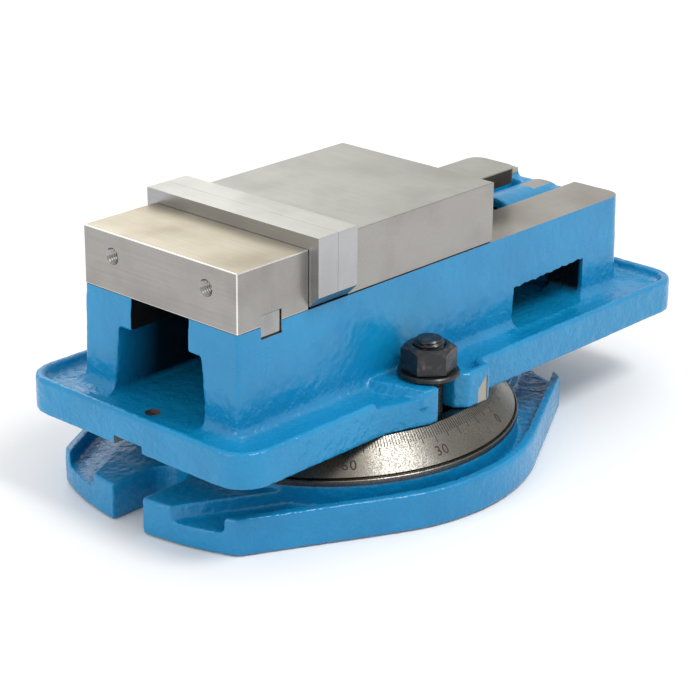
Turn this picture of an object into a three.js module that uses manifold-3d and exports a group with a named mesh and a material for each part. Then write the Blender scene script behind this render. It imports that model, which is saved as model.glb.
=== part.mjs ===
// Angle-lock machine vise on a graduated swivel base.
// X runs along the bed, screw end at +X. Z is up. The origin lies on the swivel axis, in the
// bottom plane of the base. All sizes are in millimetres.
import * as THREE from "three";
import { mergeVertices } from "three/addons/utils/BufferGeometryUtils.js";
import Module from "manifold-3d";

const wasm = await Module();
wasm.setup();

// Gaps
const GAP = 0.3;
const RUN = 0.4;

// Levels
const WALL_TOP = 17.3;
const CHANNEL_FLOOR = 10.3;
const LIP_TOP = 22.3;
const CONE_TOP = 36.0;
const BODY_BOTTOM = CONE_TOP + GAP;
const TRAY_FLOOR = 49.4;
const RIM_TOP = 53.0;
const CAVITY_TOP = 80.2;
const WAY = 95.3;
const FIXED_TOP = WAY + 27.0;
const JAW_TOP = WAY + 28.8;
const PLATE_TOP = WAY + 33.0;
const PLATE_BOTTOM = WAY + 1.3;
const SCREW_Z = WAY - 23.0;

// Bed
const HALF = 47.0;
const SLOT_HALF = 17.9;
const CAVITY_HALF_TOP = 25.6;
const CAVITY_HALF_BOTTOM = 28.0;
const REAR = -102.4;
const BED_END = 166.0;
const BED_CORNER = 8.0;
const WALL_INSIDE = 140.0;
const HOUSING_REAR = 122.6;
const HOUSING_R = 20.5;

// Tray and ears
const TRAY_REAR = -122.4;
const TRAY_END = 188.6;
const TRAY_HALF = 69.8;
const TRAY_CORNER = 15.0;
const RIM_WIDTH = 4.6;
const EAR_HALF = 77.0;
const EAR_START = 34.7;
const EAR_PAD = 20.0;
const EAR_FLAT = 28.0;
const EAR_SLOT_HALF = 7.8;
const BOLT_R = 64.0;

// Keyway and tray holes
const KEYWAY_HALF = 8.8;
const KEYWAY_DEPTH = 4.1;
const TRAY_HOLE_R = 3.5;
const TRAY_HOLES = [-107.4, 176.0];

// Side windows
const WINDOW_X = [82.4, 136.0];
const WINDOW_TOP = 69.0;

// Jaws
const PLATE_HALF = 52.6;
const PLATE_T = 12.0;
const PLATE_CHAMFER = 5.0;
const FIXED_FRONT = -59.9;
const FIXED_PLATE_X = FIXED_FRONT + GAP;
const MOVABLE_PLATE_X = FIXED_PLATE_X + PLATE_T + GAP;
const JAW_REAR = MOVABLE_PLATE_X + PLATE_T + GAP;
const JAW_END = 64.0;
const TAIL_END = 125.2;
const TAIL_HALF = 13.5;
const TAIL_TOP = WAY + 16.1;
const TAIL_BOTTOM = WAY + 8.4;
const TAIL_CORNER = 7.0;
const GUIDE_START = 28.0;
const GUIDE_DEPTH = 2.0;
const JAW_HOLE_Y = 28.8;
const JAW_HOLE_Z = WAY + 16.5;
const M8_HOLE_R = 3.7;
const M8_R = 3.3;

// Cross key and fixed jaw bolts
const KEY_X = [-88.7, -76.2];
const KEY_TOP = WAY + 5.2;
const KEY_BOTTOM = WAY - 5.5;
const KEY_HALF = 46.4;
const FIXED_BOLT_X = -68.0;
const FIXED_BOLT_Y = 38.6;

// Screw line
const SCREW_R = 9.6;
const SCREW_START = -32.0;
const COLLAR_X = 117.0;
const COLLAR_T = 5.0;
const COLLAR_R = 14.0;
const RACE_T = 2.2;
const CAGE_T = 4.0;
const RACE_R = 15.0;
const POCKET_R = 16.5;
const POCKET_FLOOR = COLLAR_X + COLLAR_T + 2 * RACE_T + CAGE_T + 4 * GAP;
const JOURNAL_R = 9.0;
const HEX_X = [176.0, 200.0];
const HEX_AF = 17.0;
const OUTER_COLLAR_R = 15.0;
const OUTER_COLLAR_T = 9.0;
const SET_SCREW_R = 2.5;

// Nut inside the jaw
const NUT_X = [-18.0, 16.0];
const NUT_HALF = 17.4;
const HOOK_HALF = 24.4;
const HOOK_TOP = CAVITY_TOP - RUN;
const HOOK_BOTTOM = 57.5;
const NUT_TOP = WAY + 14.0;
const POCKET_X = [-27.5, 22.0];
const POCKET_TOP = WAY + 20.0;
const SEGMENT_R = 8.0;
const SEGMENT_X = -17.6;
const SEGMENT_Z = WAY + 8.2;

// Swivel base
const LOBE_R = 124.5;
const LOBE_HALF = 55.0;
const SIDE_R = 101.2;
const WALL_T = 5.0;
const CHANNEL_T = 16.0;
const DIAL_R = 91.0;
const CONE_R = 89.6;
const CONE_TOP_R = 77.0;
const HOLD_SLOT_HALF = 9.5;
const HOLD_SLOT_X = 107.0;
const TSLOT_HALF = 7.8;
const THEAD_R = [51.4, 76.6];
const THEAD_Z = [15.0, 25.6];
const PIVOT_R = 14.7;
const PIVOT_BORE_R = 15.1;

// Swivel clamp sets
const TBOLT_R = 6.9;
const TBOLT_TOP = 70.6;
const THEAD_HALF = 11.0;
const WASHER_R = 14.0;
const WASHER_T = 2.5;
const NUT_AF = 22.0;
const NUT_T = 11.6;
const NUT_TURN = 13.0;

// Cap screws: jaw plates and fixed jaw
const SINK_R = 7.2;
const SINK_DEPTH = 8.6;
const PLATE_BORE_R = 4.3;
const CAP_R = 6.5;
const CAP_FACE = 0.6;
const SCREW_END = 28.0;
const JAW_HOLE_DEPTH = 24.0;
const BOLT_SHANK_R = 5.0;
const BOLT_HEAD_R = 8.6;
const BOLT_SEAT = BODY_BOTTOM + 12.0;
const BOLT_END = WAY + 18.0;

// Closed mesh to solid and back
function solid(geometry) {
  const bare = geometry.index ? geometry.toNonIndexed() : geometry.clone();
  bare.deleteAttribute("normal");
  bare.deleteAttribute("uv");
  const merged = mergeVertices(bare, 1e-4);
  return new wasm.Manifold(
    new wasm.Mesh({
      numProp: 3,
      vertProperties: new Float32Array(merged.attributes.position.array),
      triVerts: new Uint32Array(merged.index.array),
    }),
  );
}

function toGeometry(shape) {
  const mesh = shape.getMesh();
  const geometry = new THREE.BufferGeometry();
  geometry.setAttribute("position", new THREE.BufferAttribute(mesh.vertProperties, 3));
  geometry.setIndex(new THREE.BufferAttribute(mesh.triVerts, 1));
  geometry.computeVertexNormals();
  return geometry;
}

// Box between two corners
function block(x0, x1, y0, y1, z0, z1) {
  const geometry = new THREE.BoxGeometry(x1 - x0, y1 - y0, z1 - z0);
  geometry.translate((x0 + x1) / 2, (y0 + y1) / 2, (z0 + z1) / 2);
  return solid(geometry);
}

// Round bar along X, Y or Z
function bar(axis, radius, from, to, a, b, sides = 32) {
  const geometry = new THREE.CylinderGeometry(radius, radius, to - from, sides);
  const middle = (from + to) / 2;
  if (axis === "x") {
    geometry.rotateZ(Math.PI / 2);
    geometry.translate(middle, a, b);
  } else if (axis === "y") {
    geometry.translate(a, middle, b);
  } else {
    geometry.rotateX(Math.PI / 2);
    geometry.translate(a, b, middle);
  }
  return solid(geometry);
}

// Hexagon bar: across flats, along X or Z
function hexBar(axis, flats, from, to, a, b) {
  return bar(axis, flats / Math.sqrt(3), from, to, a, b, 6);
}

// Outline in the XY plane, raised from z0 to z1
function slab(points, z0, z1) {
  const shape = new THREE.Shape(points.map(([x, y]) => new THREE.Vector2(x, y)));
  const geometry = new THREE.ExtrudeGeometry(shape, { depth: z1 - z0, bevelEnabled: false });
  geometry.translate(0, 0, z0);
  return solid(geometry);
}

// Outline in the YZ plane, run from x0 to x1
function rail(points, x0, x1) {
  const shape = new THREE.Shape(points.map(([y, z]) => new THREE.Vector2(y, z)));
  const geometry = new THREE.ExtrudeGeometry(shape, { depth: x1 - x0, bevelEnabled: false });
  geometry.rotateY(Math.PI / 2);
  geometry.rotateX(Math.PI / 2);
  geometry.translate(x0, 0, 0);
  return solid(geometry);
}

// Profile of [radius, z] pairs turned about Z
function turned(profile, sides = 96) {
  const points = profile.map(([r, z]) => new THREE.Vector2(r, z));
  const geometry = new THREE.LatheGeometry(points, sides);
  geometry.rotateX(Math.PI / 2);
  return solid(geometry);
}

// Points of an arc
function arc(cx, cy, radius, from, to, steps) {
  const points = [];
  for (let i = 0; i <= steps; i += 1) {
    const angle = from + ((to - from) * i) / steps;
    points.push([cx + radius * Math.cos(angle), cy + radius * Math.sin(angle)]);
  }
  return points;
}

function mirrorY(shape) {
  return shape.mirror([0, 1, 0]);
}

// Base outline: a round middle with a lobe at each end, drawn in by inset
function baseOutline(inset) {
  const lobe = LOBE_R - inset;
  const side = SIDE_R - inset;
  const corner = Math.asin(LOBE_HALF / LOBE_R) - inset / 250;
  const tangent = corner + Math.acos(side / lobe);
  const quarter = Math.PI / 2;
  return [
    ...arc(0, 0, lobe, -corner, corner, 10),
    ...arc(0, 0, side, tangent, 2 * quarter - tangent, 14),
    ...arc(0, 0, lobe, 2 * quarter - corner, 2 * quarter + corner, 10),
    ...arc(0, 0, side, 2 * quarter + tangent, 4 * quarter - tangent, 14),
  ];
}

// One straight run of the drip channel beside a flank, open through the lobe's end wall
function channelRun() {
  const corner = Math.asin(LOBE_HALF / LOBE_R);
  const tangent = corner + Math.acos(SIDE_R / LOBE_R);
  const start = new THREE.Vector2(LOBE_R * Math.cos(corner), LOBE_R * Math.sin(corner));
  const end = new THREE.Vector2(SIDE_R * Math.cos(tangent), SIDE_R * Math.sin(tangent));
  const along = end.clone().sub(start).normalize();
  const inward = new THREE.Vector2(-along.y, along.x);
  const place = (run, offset) => [
    start.x + along.x * run + inward.x * offset,
    start.y + along.y * run + inward.y * offset,
  ];
  const length = start.distanceTo(end);
  return slab(
    [
      place(-30, WALL_T + CHANNEL_T),
      place(-30, WALL_T),
      place(length, WALL_T),
      place(length, WALL_T + CHANNEL_T),
    ],
    CHANNEL_FLOOR,
    WALL_TOP + 5,
  );
}

// Arc-shaped channel between the dial and the side wall
function channelArc() {
  const spread = THREE.MathUtils.degToRad(32);
  const quarter = Math.PI / 2;
  const outer = arc(0, 0, SIDE_R - WALL_T, quarter - spread, quarter + spread, 14);
  const inner = arc(0, 0, DIAL_R - 4, quarter + spread, quarter - spread, 14);
  return slab([...outer, ...inner], CHANNEL_FLOOR, WALL_TOP + 5);
}

function swivelBase() {
  let shape = slab(baseOutline(0), 0, WALL_TOP);
  let channel = channelRun();
  channel = channel.add(channel.mirror([1, 0, 0]));
  channel = channel.add(channelArc());
  channel = channel.add(mirrorY(channel));
  shape = shape.subtract(channel);
  const dial = [
    [0, 1],
    [DIAL_R, 1],
    [DIAL_R, LIP_TOP],
    [CONE_R, LIP_TOP],
    [CONE_R, LIP_TOP + 1],
    [CONE_TOP_R, CONE_TOP],
    [0, CONE_TOP],
  ];
  shape = shape.add(turned(dial));
  const groove = [
    [THEAD_R[0], THEAD_Z[0]],
    [THEAD_R[1], THEAD_Z[0]],
    [THEAD_R[1], THEAD_Z[1]],
    [BOLT_R + TSLOT_HALF, THEAD_Z[1]],
    [BOLT_R + TSLOT_HALF, CONE_TOP + 1],
    [BOLT_R - TSLOT_HALF, CONE_TOP + 1],
    [BOLT_R - TSLOT_HALF, THEAD_Z[1]],
    [THEAD_R[0], THEAD_Z[1]],
    [THEAD_R[0], THEAD_Z[0]],
  ];
  shape = shape.subtract(turned(groove, 72));
  shape = shape.subtract(bar("z", PIVOT_R + GAP, 6, CONE_TOP + 1, 0, 0));
  let slot = bar("z", HOLD_SLOT_HALF, -1, LIP_TOP, HOLD_SLOT_X, 0, 24);
  slot = slot.add(block(HOLD_SLOT_X, 130, -HOLD_SLOT_HALF, HOLD_SLOT_HALF, -1, LIP_TOP));
  slot = slot.add(slot.mirror([1, 0, 0]));
  return shape.subtract(slot);
}

// Tray outline with the two bolt ears, drawn in by inset
function trayOutline(inset) {
  const half = TRAY_HALF - inset;
  const ear = EAR_HALF - inset;
  const r = TRAY_CORNER - inset;
  const side = [
    [EAR_FLAT + 3, half],
    [EAR_FLAT, ear],
    [-EAR_SLOT_HALF - 3, ear],
    [-EAR_START, half],
  ];
  const q = Math.PI / 2;
  const x0 = TRAY_REAR + inset + r;
  const x1 = TRAY_END - inset - r;
  return [
    ...arc(x1, half - r, r, 0, q, 5),
    ...side,
    ...arc(x0, half - r, r, q, 2 * q, 5),
    ...arc(x0, r - half, r, 2 * q, 3 * q, 5),
    ...side.map(([x, y]) => [x, -y]).reverse(),
    ...arc(x1, r - half, r, 3 * q, 4 * q, 5),
  ];
}

function tray() {
  const shape = slab(trayOutline(0), BODY_BOTTOM, RIM_TOP);
  let hollow = slab(trayOutline(RIM_WIDTH), TRAY_FLOOR, RIM_TOP + 1);
  const pad = slab(
    [
      [-EAR_PAD - 6, 0],
      [EAR_PAD, 0],
      [EAR_PAD, EAR_HALF],
      [-EAR_PAD + 4, EAR_HALF],
      [-EAR_PAD - 6, HALF],
    ],
    TRAY_FLOOR - 1,
    RIM_TOP + 2,
  );
  hollow = hollow.subtract(pad).subtract(mirrorY(pad));
  return shape.subtract(hollow);
}

// Bed walls with rounded front corners
function bed() {
  const outline = [
    [REAR, -HALF],
    ...arc(BED_END - BED_CORNER, BED_CORNER - HALF, BED_CORNER, -Math.PI / 2, 0, 5),
    ...arc(BED_END - BED_CORNER, HALF - BED_CORNER, BED_CORNER, 0, Math.PI / 2, 5),
    [REAR, HALF],
  ];
  return slab(outline, TRAY_FLOOR - 2, WAY);
}

// The tunnel under the rails and the slot between them
function tunnel() {
  const section = [
    [-CAVITY_HALF_BOTTOM, TRAY_FLOOR],
    [CAVITY_HALF_BOTTOM, TRAY_FLOOR],
    [CAVITY_HALF_TOP, CAVITY_TOP],
    [SLOT_HALF, CAVITY_TOP],
    [SLOT_HALF, WAY + 1],
    [-SLOT_HALF, WAY + 1],
    [-SLOT_HALF, CAVITY_TOP],
    [-CAVITY_HALF_TOP, CAVITY_TOP],
  ];
  return rail(section, REAR - 1, WALL_INSIDE);
}

// Screw housing: a round boss between the rails, bored for the bearing and the journal
function housing(shape) {
  const above = block(
    WALL_INSIDE - 1,
    BED_END + 1,
    -SLOT_HALF,
    SLOT_HALF,
    SCREW_Z,
    WAY + 1,
  );
  let result = shape.subtract(above);
  result = result.add(bar("x", HOUSING_R, HOUSING_REAR, BED_END, 0, SCREW_Z, 48));
  result = result.subtract(bar("x", POCKET_R, HOUSING_REAR - 1, POCKET_FLOOR, 0, SCREW_Z, 40));
  return result.subtract(bar("x", JOURNAL_R + RUN, HOUSING_REAR, BED_END + 1, 0, SCREW_Z));
}

function viseBody() {
  let shape = housing(tray().add(bed()).subtract(tunnel()));
  const cuts = [
    block(WINDOW_X[0], WINDOW_X[1], -HALF - 1, HALF + 1, TRAY_FLOOR, WINDOW_TOP),
    block(TRAY_REAR - 1, TRAY_END + 1, -KEYWAY_HALF, KEYWAY_HALF, 30, BODY_BOTTOM + KEYWAY_DEPTH),
    bar("z", PIVOT_BORE_R, 30, TRAY_FLOOR - 3, 0, 0),
    block(KEY_X[0], KEY_X[1], -HALF - 1, HALF + 1, KEY_BOTTOM, WAY + 1),
  ];
  for (const x of TRAY_HOLES) {
    cuts.push(bar("z", TRAY_HOLE_R, 30, RIM_TOP, x, 0, 16));
  }
  for (const s of [-1, 1]) {
    const y0 = Math.min(s * BOLT_R, s * (EAR_HALF + 1));
    const y1 = Math.max(s * BOLT_R, s * (EAR_HALF + 1));
    cuts.push(block(-EAR_SLOT_HALF, EAR_SLOT_HALF, y0, y1, 30, RIM_TOP + 1));
    cuts.push(bar("z", EAR_SLOT_HALF, 30, RIM_TOP + 1, 0, s * BOLT_R, 24));
    cuts.push(bar("z", BOLT_SHANK_R + 0.6, 30, WAY + 1, FIXED_BOLT_X, s * FIXED_BOLT_Y, 20));
    cuts.push(bar("z", BOLT_HEAD_R + 0.6, 30, BOLT_SEAT, FIXED_BOLT_X, s * FIXED_BOLT_Y, 24));
  }
  for (const cut of cuts) {
    shape = shape.subtract(cut);
  }
  return shape;
}

function fixedJaw() {
  let shape = block(REAR, FIXED_FRONT, -HALF, HALF, WAY + GAP, FIXED_TOP);
  shape = shape.subtract(block(KEY_X[0], KEY_X[1], -HALF - 1, HALF + 1, WAY, KEY_TOP));
  for (const s of [-1, 1]) {
    const y = s * JAW_HOLE_Y;
    shape = shape.subtract(bar("x", M8_HOLE_R, REAR - 1, FIXED_FRONT + 1, y, JAW_HOLE_Z, 20));
    const boltY = s * FIXED_BOLT_Y;
    const bore = bar("z", BOLT_SHANK_R + RUN, WAY, BOLT_END + 2, FIXED_BOLT_X, boltY, 20);
    shape = shape.subtract(bore);
  }
  return shape;
}

function fixedJawKey() {
  return block(
    KEY_X[0] + GAP,
    KEY_X[1] - GAP,
    -KEY_HALF,
    KEY_HALF,
    KEY_BOTTOM + GAP,
    KEY_TOP - GAP,
  );
}

// Cap screw that holds the fixed jaw from under the body
function fixedJawBolt(side) {
  const y = side * FIXED_BOLT_Y;
  const seat = BOLT_SEAT - GAP;
  const head = bar("z", BOLT_HEAD_R, BODY_BOTTOM + 1.2, seat, FIXED_BOLT_X, y, 24);
  const shank = bar("z", BOLT_SHANK_R, seat - 1, BOLT_END, FIXED_BOLT_X, y, 20);
  const socket = hexBar("z", 8, BODY_BOTTOM, BODY_BOTTOM + 6.5, FIXED_BOLT_X, y);
  return head.add(shank).subtract(socket);
}

// Jaw plate: the lower outer corners are chamfered and two screws pass through it.
// facing is +1 where the clamping face looks to +X
function jawPlate(x, facing) {
  const c = PLATE_CHAMFER;
  let shape = rail(
    [
      [-PLATE_HALF + c, PLATE_BOTTOM],
      [PLATE_HALF - c, PLATE_BOTTOM],
      [PLATE_HALF, PLATE_BOTTOM + c],
      [PLATE_HALF, PLATE_TOP],
      [-PLATE_HALF, PLATE_TOP],
      [-PLATE_HALF, PLATE_BOTTOM + c],
    ],
    x,
    x + PLATE_T,
  );
  const front = x + PLATE_T;
  const sink = facing > 0 ? [front - SINK_DEPTH, front + 1] : [x - 1, x + SINK_DEPTH];
  for (const s of [-1, 1]) {
    const y = s * JAW_HOLE_Y;
    shape = shape.subtract(bar("x", SINK_R, sink[0], sink[1], y, JAW_HOLE_Z, 24));
    shape = shape.subtract(bar("x", PLATE_BORE_R, x - 1, front + 1, y, JAW_HOLE_Z, 20));
  }
  return shape;
}

// Cap screw of a jaw plate: head in the plate's sink, shank in the jaw
function plateScrew(side, facing) {
  const y = side * JAW_HOLE_Y;
  const face = facing > 0 ? FIXED_PLATE_X + PLATE_T : MOVABLE_PLATE_X;
  const at = (depth) => face - facing * depth;
  const span = (a, b) => [Math.min(at(a), at(b)), Math.max(at(a), at(b))];
  const head = span(CAP_FACE, SINK_DEPTH - GAP);
  const shank = span(SINK_DEPTH - 0.6, SCREW_END);
  const socket = span(0, CAP_FACE + 4);
  return bar("x", CAP_R, head[0], head[1], y, JAW_HOLE_Z, 24)
    .add(bar("x", M8_R, shank[0], shank[1], y, JAW_HOLE_Z, 16))
    .subtract(hexBar("x", 6, socket[0], socket[1], y, JAW_HOLE_Z));
}

function movableJaw() {
  let shape = block(JAW_REAR, JAW_END, -HALF, HALF, WAY + RUN, JAW_TOP);
  const tail = [
    [JAW_END - 2, -TAIL_HALF],
    ...arc(TAIL_END - TAIL_CORNER, TAIL_CORNER - TAIL_HALF, TAIL_CORNER, -Math.PI / 2, 0, 5),
    ...arc(TAIL_END - TAIL_CORNER, TAIL_HALF - TAIL_CORNER, TAIL_CORNER, 0, Math.PI / 2, 5),
    [JAW_END - 2, TAIL_HALF],
  ];
  shape = shape.add(slab(tail, TAIL_BOTTOM, TAIL_TOP));
  const guideHalf = SLOT_HALF - RUN;
  const guide = block(GUIDE_START, JAW_END, -guideHalf, guideHalf, WAY - GUIDE_DEPTH, WAY + 1);
  shape = shape.add(guide);
  shape = shape.subtract(
    block(POCKET_X[0], POCKET_X[1], -SLOT_HALF, SLOT_HALF, WAY - 1, POCKET_TOP),
  );
  for (const s of [-1, 1]) {
    const y = s * JAW_HOLE_Y;
    const hole = bar("x", M8_HOLE_R, JAW_REAR - 1, JAW_REAR + JAW_HOLE_DEPTH, y, JAW_HOLE_Z, 20);
    shape = shape.subtract(hole);
  }
  return shape;
}

// Nut: guided in the slot, hooked under the ways, with its angled face towards the fixed jaw
function jawNut() {
  let shape = block(NUT_X[0], NUT_X[1], -NUT_HALF, NUT_HALF, HOOK_BOTTOM, NUT_TOP);
  shape = shape.add(block(NUT_X[0], NUT_X[1], -HOOK_HALF, HOOK_HALF, HOOK_BOTTOM, HOOK_TOP));
  const wedge = [
    [NUT_X[0] - 1, WAY + 1],
    [NUT_X[0] - 1, NUT_TOP + 1],
    [NUT_X[0] + 13, NUT_TOP + 1],
  ];
  const side = new THREE.Shape(wedge.map(([x, z]) => new THREE.Vector2(x, z)));
  const cut = new THREE.ExtrudeGeometry(side, { depth: 40, bevelEnabled: false });
  cut.rotateX(Math.PI / 2);
  cut.translate(0, 20, 0);
  shape = shape.subtract(solid(cut));
  return shape.subtract(bar("x", SCREW_R + GAP, NUT_X[0] - 1, NUT_X[1] + 1, 0, SCREW_Z, 32));
}

// Half-ball between the nut's angled face and the jaw
function lockSegment() {
  const ball = new THREE.SphereGeometry(SEGMENT_R, 24, 16);
  ball.translate(SEGMENT_X, 0, SEGMENT_Z);
  const half = new THREE.BoxGeometry(40, 40, 40);
  half.translate(20, 0, 0);
  half.rotateY(Math.PI / 4);
  half.translate(SEGMENT_X, 0, SEGMENT_Z);
  return solid(ball).subtract(solid(half));
}

function leadScrew() {
  let shape = bar("x", SCREW_R, SCREW_START, COLLAR_X + 1, 0, SCREW_Z, 32);
  shape = shape.add(bar("x", COLLAR_R, COLLAR_X, COLLAR_X + COLLAR_T, 0, SCREW_Z, 32));
  shape = shape.add(bar("x", JOURNAL_R, COLLAR_X + 1, HEX_X[0] + 1, 0, SCREW_Z, 32));
  return shape.add(hexBar("x", HEX_AF, HEX_X[0], HEX_X[1], 0, SCREW_Z));
}

// Flat ring on the screw line
function ring(from, to, outer, inner) {
  return bar("x", outer, from, to, 0, SCREW_Z, 32).subtract(
    bar("x", inner, from - 1, to + 1, 0, SCREW_Z, 32),
  );
}

function bearingRing(index) {
  const starts = [0, RACE_T + GAP, RACE_T + CAGE_T + 2 * GAP];
  const sizes = [RACE_T, CAGE_T, RACE_T];
  const from = COLLAR_X + COLLAR_T + GAP + starts[index];
  const outer = index === 1 ? RACE_R - 0.6 : RACE_R;
  return ring(from, from + sizes[index], outer, JOURNAL_R + GAP);
}

function screwCollar() {
  const from = BED_END + GAP;
  const shape = ring(from, from + OUTER_COLLAR_T, OUTER_COLLAR_R, JOURNAL_R + GAP);
  const middle = from + OUTER_COLLAR_T / 2;
  return shape.subtract(bar("z", SET_SCREW_R + RUN, SCREW_Z + 8, SCREW_Z + 20, middle, 0, 16));
}

function collarSetScrew() {
  const x = BED_END + GAP + OUTER_COLLAR_T / 2;
  const body = bar("z", SET_SCREW_R, SCREW_Z + JOURNAL_R + GAP, SCREW_Z + 14.4, x, 0, 16);
  return body.subtract(hexBar("z", 2.5, SCREW_Z + 12, SCREW_Z + 16, x, 0));
}

function centrePivot() {
  return bar("z", PIVOT_R, 6 + GAP, TRAY_FLOOR - 4, 0, 0, 40);
}

function tBolt(side) {
  const y = side * BOLT_R;
  const h = THEAD_HALF;
  const head = block(-h, h, y - h, y + h, THEAD_Z[0] + RUN, THEAD_Z[1] - RUN);
  return head.add(bar("z", TBOLT_R, THEAD_Z[0] + 2, TBOLT_TOP, 0, y, 24));
}

function washer(side) {
  const y = side * BOLT_R;
  const from = RIM_TOP + GAP;
  const disc = bar("z", WASHER_R, from, from + WASHER_T, 0, y, 32);
  return disc.subtract(bar("z", TBOLT_R + GAP, from - 1, from + WASHER_T + 1, 0, y, 24));
}

function clampNut(side) {
  const y = side * BOLT_R;
  const from = RIM_TOP + 2 * GAP + WASHER_T;
  const bore = bar("z", TBOLT_R + GAP, from - 1, from + NUT_T + 1, 0, 0, 24);
  const hex = hexBar("z", NUT_AF, from, from + NUT_T, 0, 0).subtract(bore);
  return hex.rotate([0, 0, side * NUT_TURN]).translate([0, y, 0]);
}

// Materials
const paint = { color: 0x2f9ad6, roughness: 0.35, metalness: 0.0 };
const ground = { color: 0xb9b4ab, roughness: 0.35, metalness: 0.9 };
const plateSteel = { color: 0xc4c2c6, roughness: 0.3, metalness: 0.9 };
const blackOxide = { color: 0x2b2a2b, roughness: 0.45, metalness: 0.7 };
const steel = { color: 0x8f8f92, roughness: 0.4, metalness: 0.9 };

const vise = new THREE.Group();

function place(name, shape, look) {
  const material = new THREE.MeshStandardMaterial(look);
  const mesh = new THREE.Mesh(toGeometry(shape), material);
  mesh.name = name;
  vise.add(mesh);
}

place("swivel_base", swivelBase(), paint);
place("vise_body", viseBody(), paint);
place("fixed_jaw", fixedJaw(), ground);
place("fixed_jaw_key", fixedJawKey(), steel);
place("fixed_jaw_plate", jawPlate(FIXED_PLATE_X, 1), plateSteel);
place("movable_jaw_plate", jawPlate(MOVABLE_PLATE_X, -1), plateSteel);
place("movable_jaw", movableJaw(), ground);
place("jaw_nut", jawNut(), steel);
place("lock_segment", lockSegment(), steel);
place("lead_screw", leadScrew(), steel);
place("bearing_race_rear", bearingRing(0), steel);
place("bearing_cage", bearingRing(1), steel);
place("bearing_race_front", bearingRing(2), steel);
place("screw_collar", screwCollar(), blackOxide);
place("collar_set_screw", collarSetScrew(), blackOxide);
place("centre_pivot", centrePivot(), steel);
for (const [tag, side] of [["near", -1], ["far", 1]]) {
  place(`fixed_jaw_bolt_${tag}`, fixedJawBolt(side), blackOxide);
  place(`fixed_plate_screw_${tag}`, plateScrew(side, 1), blackOxide);
  place(`movable_plate_screw_${tag}`, plateScrew(side, -1), blackOxide);
  place(`tbolt_${tag}`, tBolt(side), blackOxide);
  place(`washer_${tag}`, washer(side), blackOxide);
  place(`nut_${tag}`, clampNut(side), blackOxide);
}

export default vise;
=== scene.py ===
"""Looks of an angle-lock machine vise on its graduated swivel base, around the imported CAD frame.

Outlines are worked out in millimetres and scaled to metres where a mesh is made.
"""
import math

import bmesh
import bpy
from mathutils import Matrix, Vector


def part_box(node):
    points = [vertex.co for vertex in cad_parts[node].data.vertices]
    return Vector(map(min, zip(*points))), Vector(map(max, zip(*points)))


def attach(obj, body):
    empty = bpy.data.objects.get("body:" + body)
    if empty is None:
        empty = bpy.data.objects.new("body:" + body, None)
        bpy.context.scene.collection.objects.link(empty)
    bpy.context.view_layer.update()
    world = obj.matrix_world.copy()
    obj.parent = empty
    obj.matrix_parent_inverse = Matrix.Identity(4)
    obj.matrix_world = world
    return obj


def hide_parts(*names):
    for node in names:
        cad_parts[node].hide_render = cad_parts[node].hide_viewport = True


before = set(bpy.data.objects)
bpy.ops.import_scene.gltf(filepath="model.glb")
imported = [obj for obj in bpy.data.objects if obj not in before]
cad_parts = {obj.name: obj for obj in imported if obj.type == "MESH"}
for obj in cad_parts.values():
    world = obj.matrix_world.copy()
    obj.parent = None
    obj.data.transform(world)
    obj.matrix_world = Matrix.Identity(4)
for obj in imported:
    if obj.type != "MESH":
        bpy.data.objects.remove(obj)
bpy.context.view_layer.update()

MM = 0.001
GAP = 0.3
scene = bpy.context.scene


def box_mm(node):
    """Lowest and highest corner of a CAD node, in millimetres."""
    low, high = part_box(node)
    return [v / MM for v in low], [v / MM for v in high]


# ---------------------------------------------------------------- sizes from the frame
BODY_LOW, BODY_HIGH = box_mm("vise_body")
BASE_LOW, BASE_HIGH = box_mm("swivel_base")
FIXED_LOW, FIXED_HIGH = box_mm("fixed_jaw")
JAW_LOW, JAW_HIGH = box_mm("movable_jaw")
KEY_LOW, KEY_HIGH = box_mm("fixed_jaw_key")
SCREW_LOW, SCREW_HIGH = box_mm("lead_screw")
WAY = BODY_HIGH[2]
BODY_BOTTOM = BODY_LOW[2]
HALF = FIXED_HIGH[1]
REAR = FIXED_LOW[0]
EAR_HALF = BODY_HIGH[1]
SCREW_Z = (box_mm("bearing_race_rear")[0][2] + box_mm("bearing_race_rear")[1][2]) / 2
CONE_TOP = BASE_HIGH[2]
LOBE_R = BASE_HIGH[0]

# Bed and screw housing
TRAY_FLOOR = BODY_BOTTOM + 13.1
RIM_TOP = BODY_BOTTOM + 16.7
BED_END = 166.0
BED_CORNER = 8.0
BED_COVE = 5.5
BED_DRAFT = 1.2
SLOT_HALF = 17.9
CAVITY_TOP = WAY - 15.1
CAVITY_HALF_TOP = 25.6
CAVITY_HALF_BOTTOM = 28.0
WALL_INSIDE = 140.0
HOUSING_REAR = box_mm("bearing_race_rear")[0][0] + GAP
HOUSING_R = 20.5
POCKET_R = 16.5
POCKET_FLOOR = box_mm("bearing_race_front")[1][0] + GAP
JOURNAL_R = 9.0

# Tray and ears
TRAY_HALF = 69.8
TRAY_CORNER = 15.0
EAR_START = -34.7
EAR_FLAT = 28.0
EAR_SLOT_HALF = 7.8
BOLT_R = 64.0

PAD_TOP = box_mm("washer_near")[0][2] - GAP
NOTCH_START = -41.0
NOTCH_END = -17.0
INDEX_START = 19.5
INDEX_END = 26.0
INDEX_DEPTH = 0.35
DRAIN_R = 3.5
DRAIN_X = (-107.4, 176.0)
KEYWAY_HALF = 8.8
KEYWAY_DEPTH = 4.1
PIVOT_BORE_R = 15.1
BOLT_BORE_R = 5.6
BOLT_SINK_R = 9.2

# Windows in the bed walls
WINDOW_REAR = 79.0
WINDOW_FRONT = 134.6
WINDOW_TOP = TRAY_FLOOR + 19.6

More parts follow.
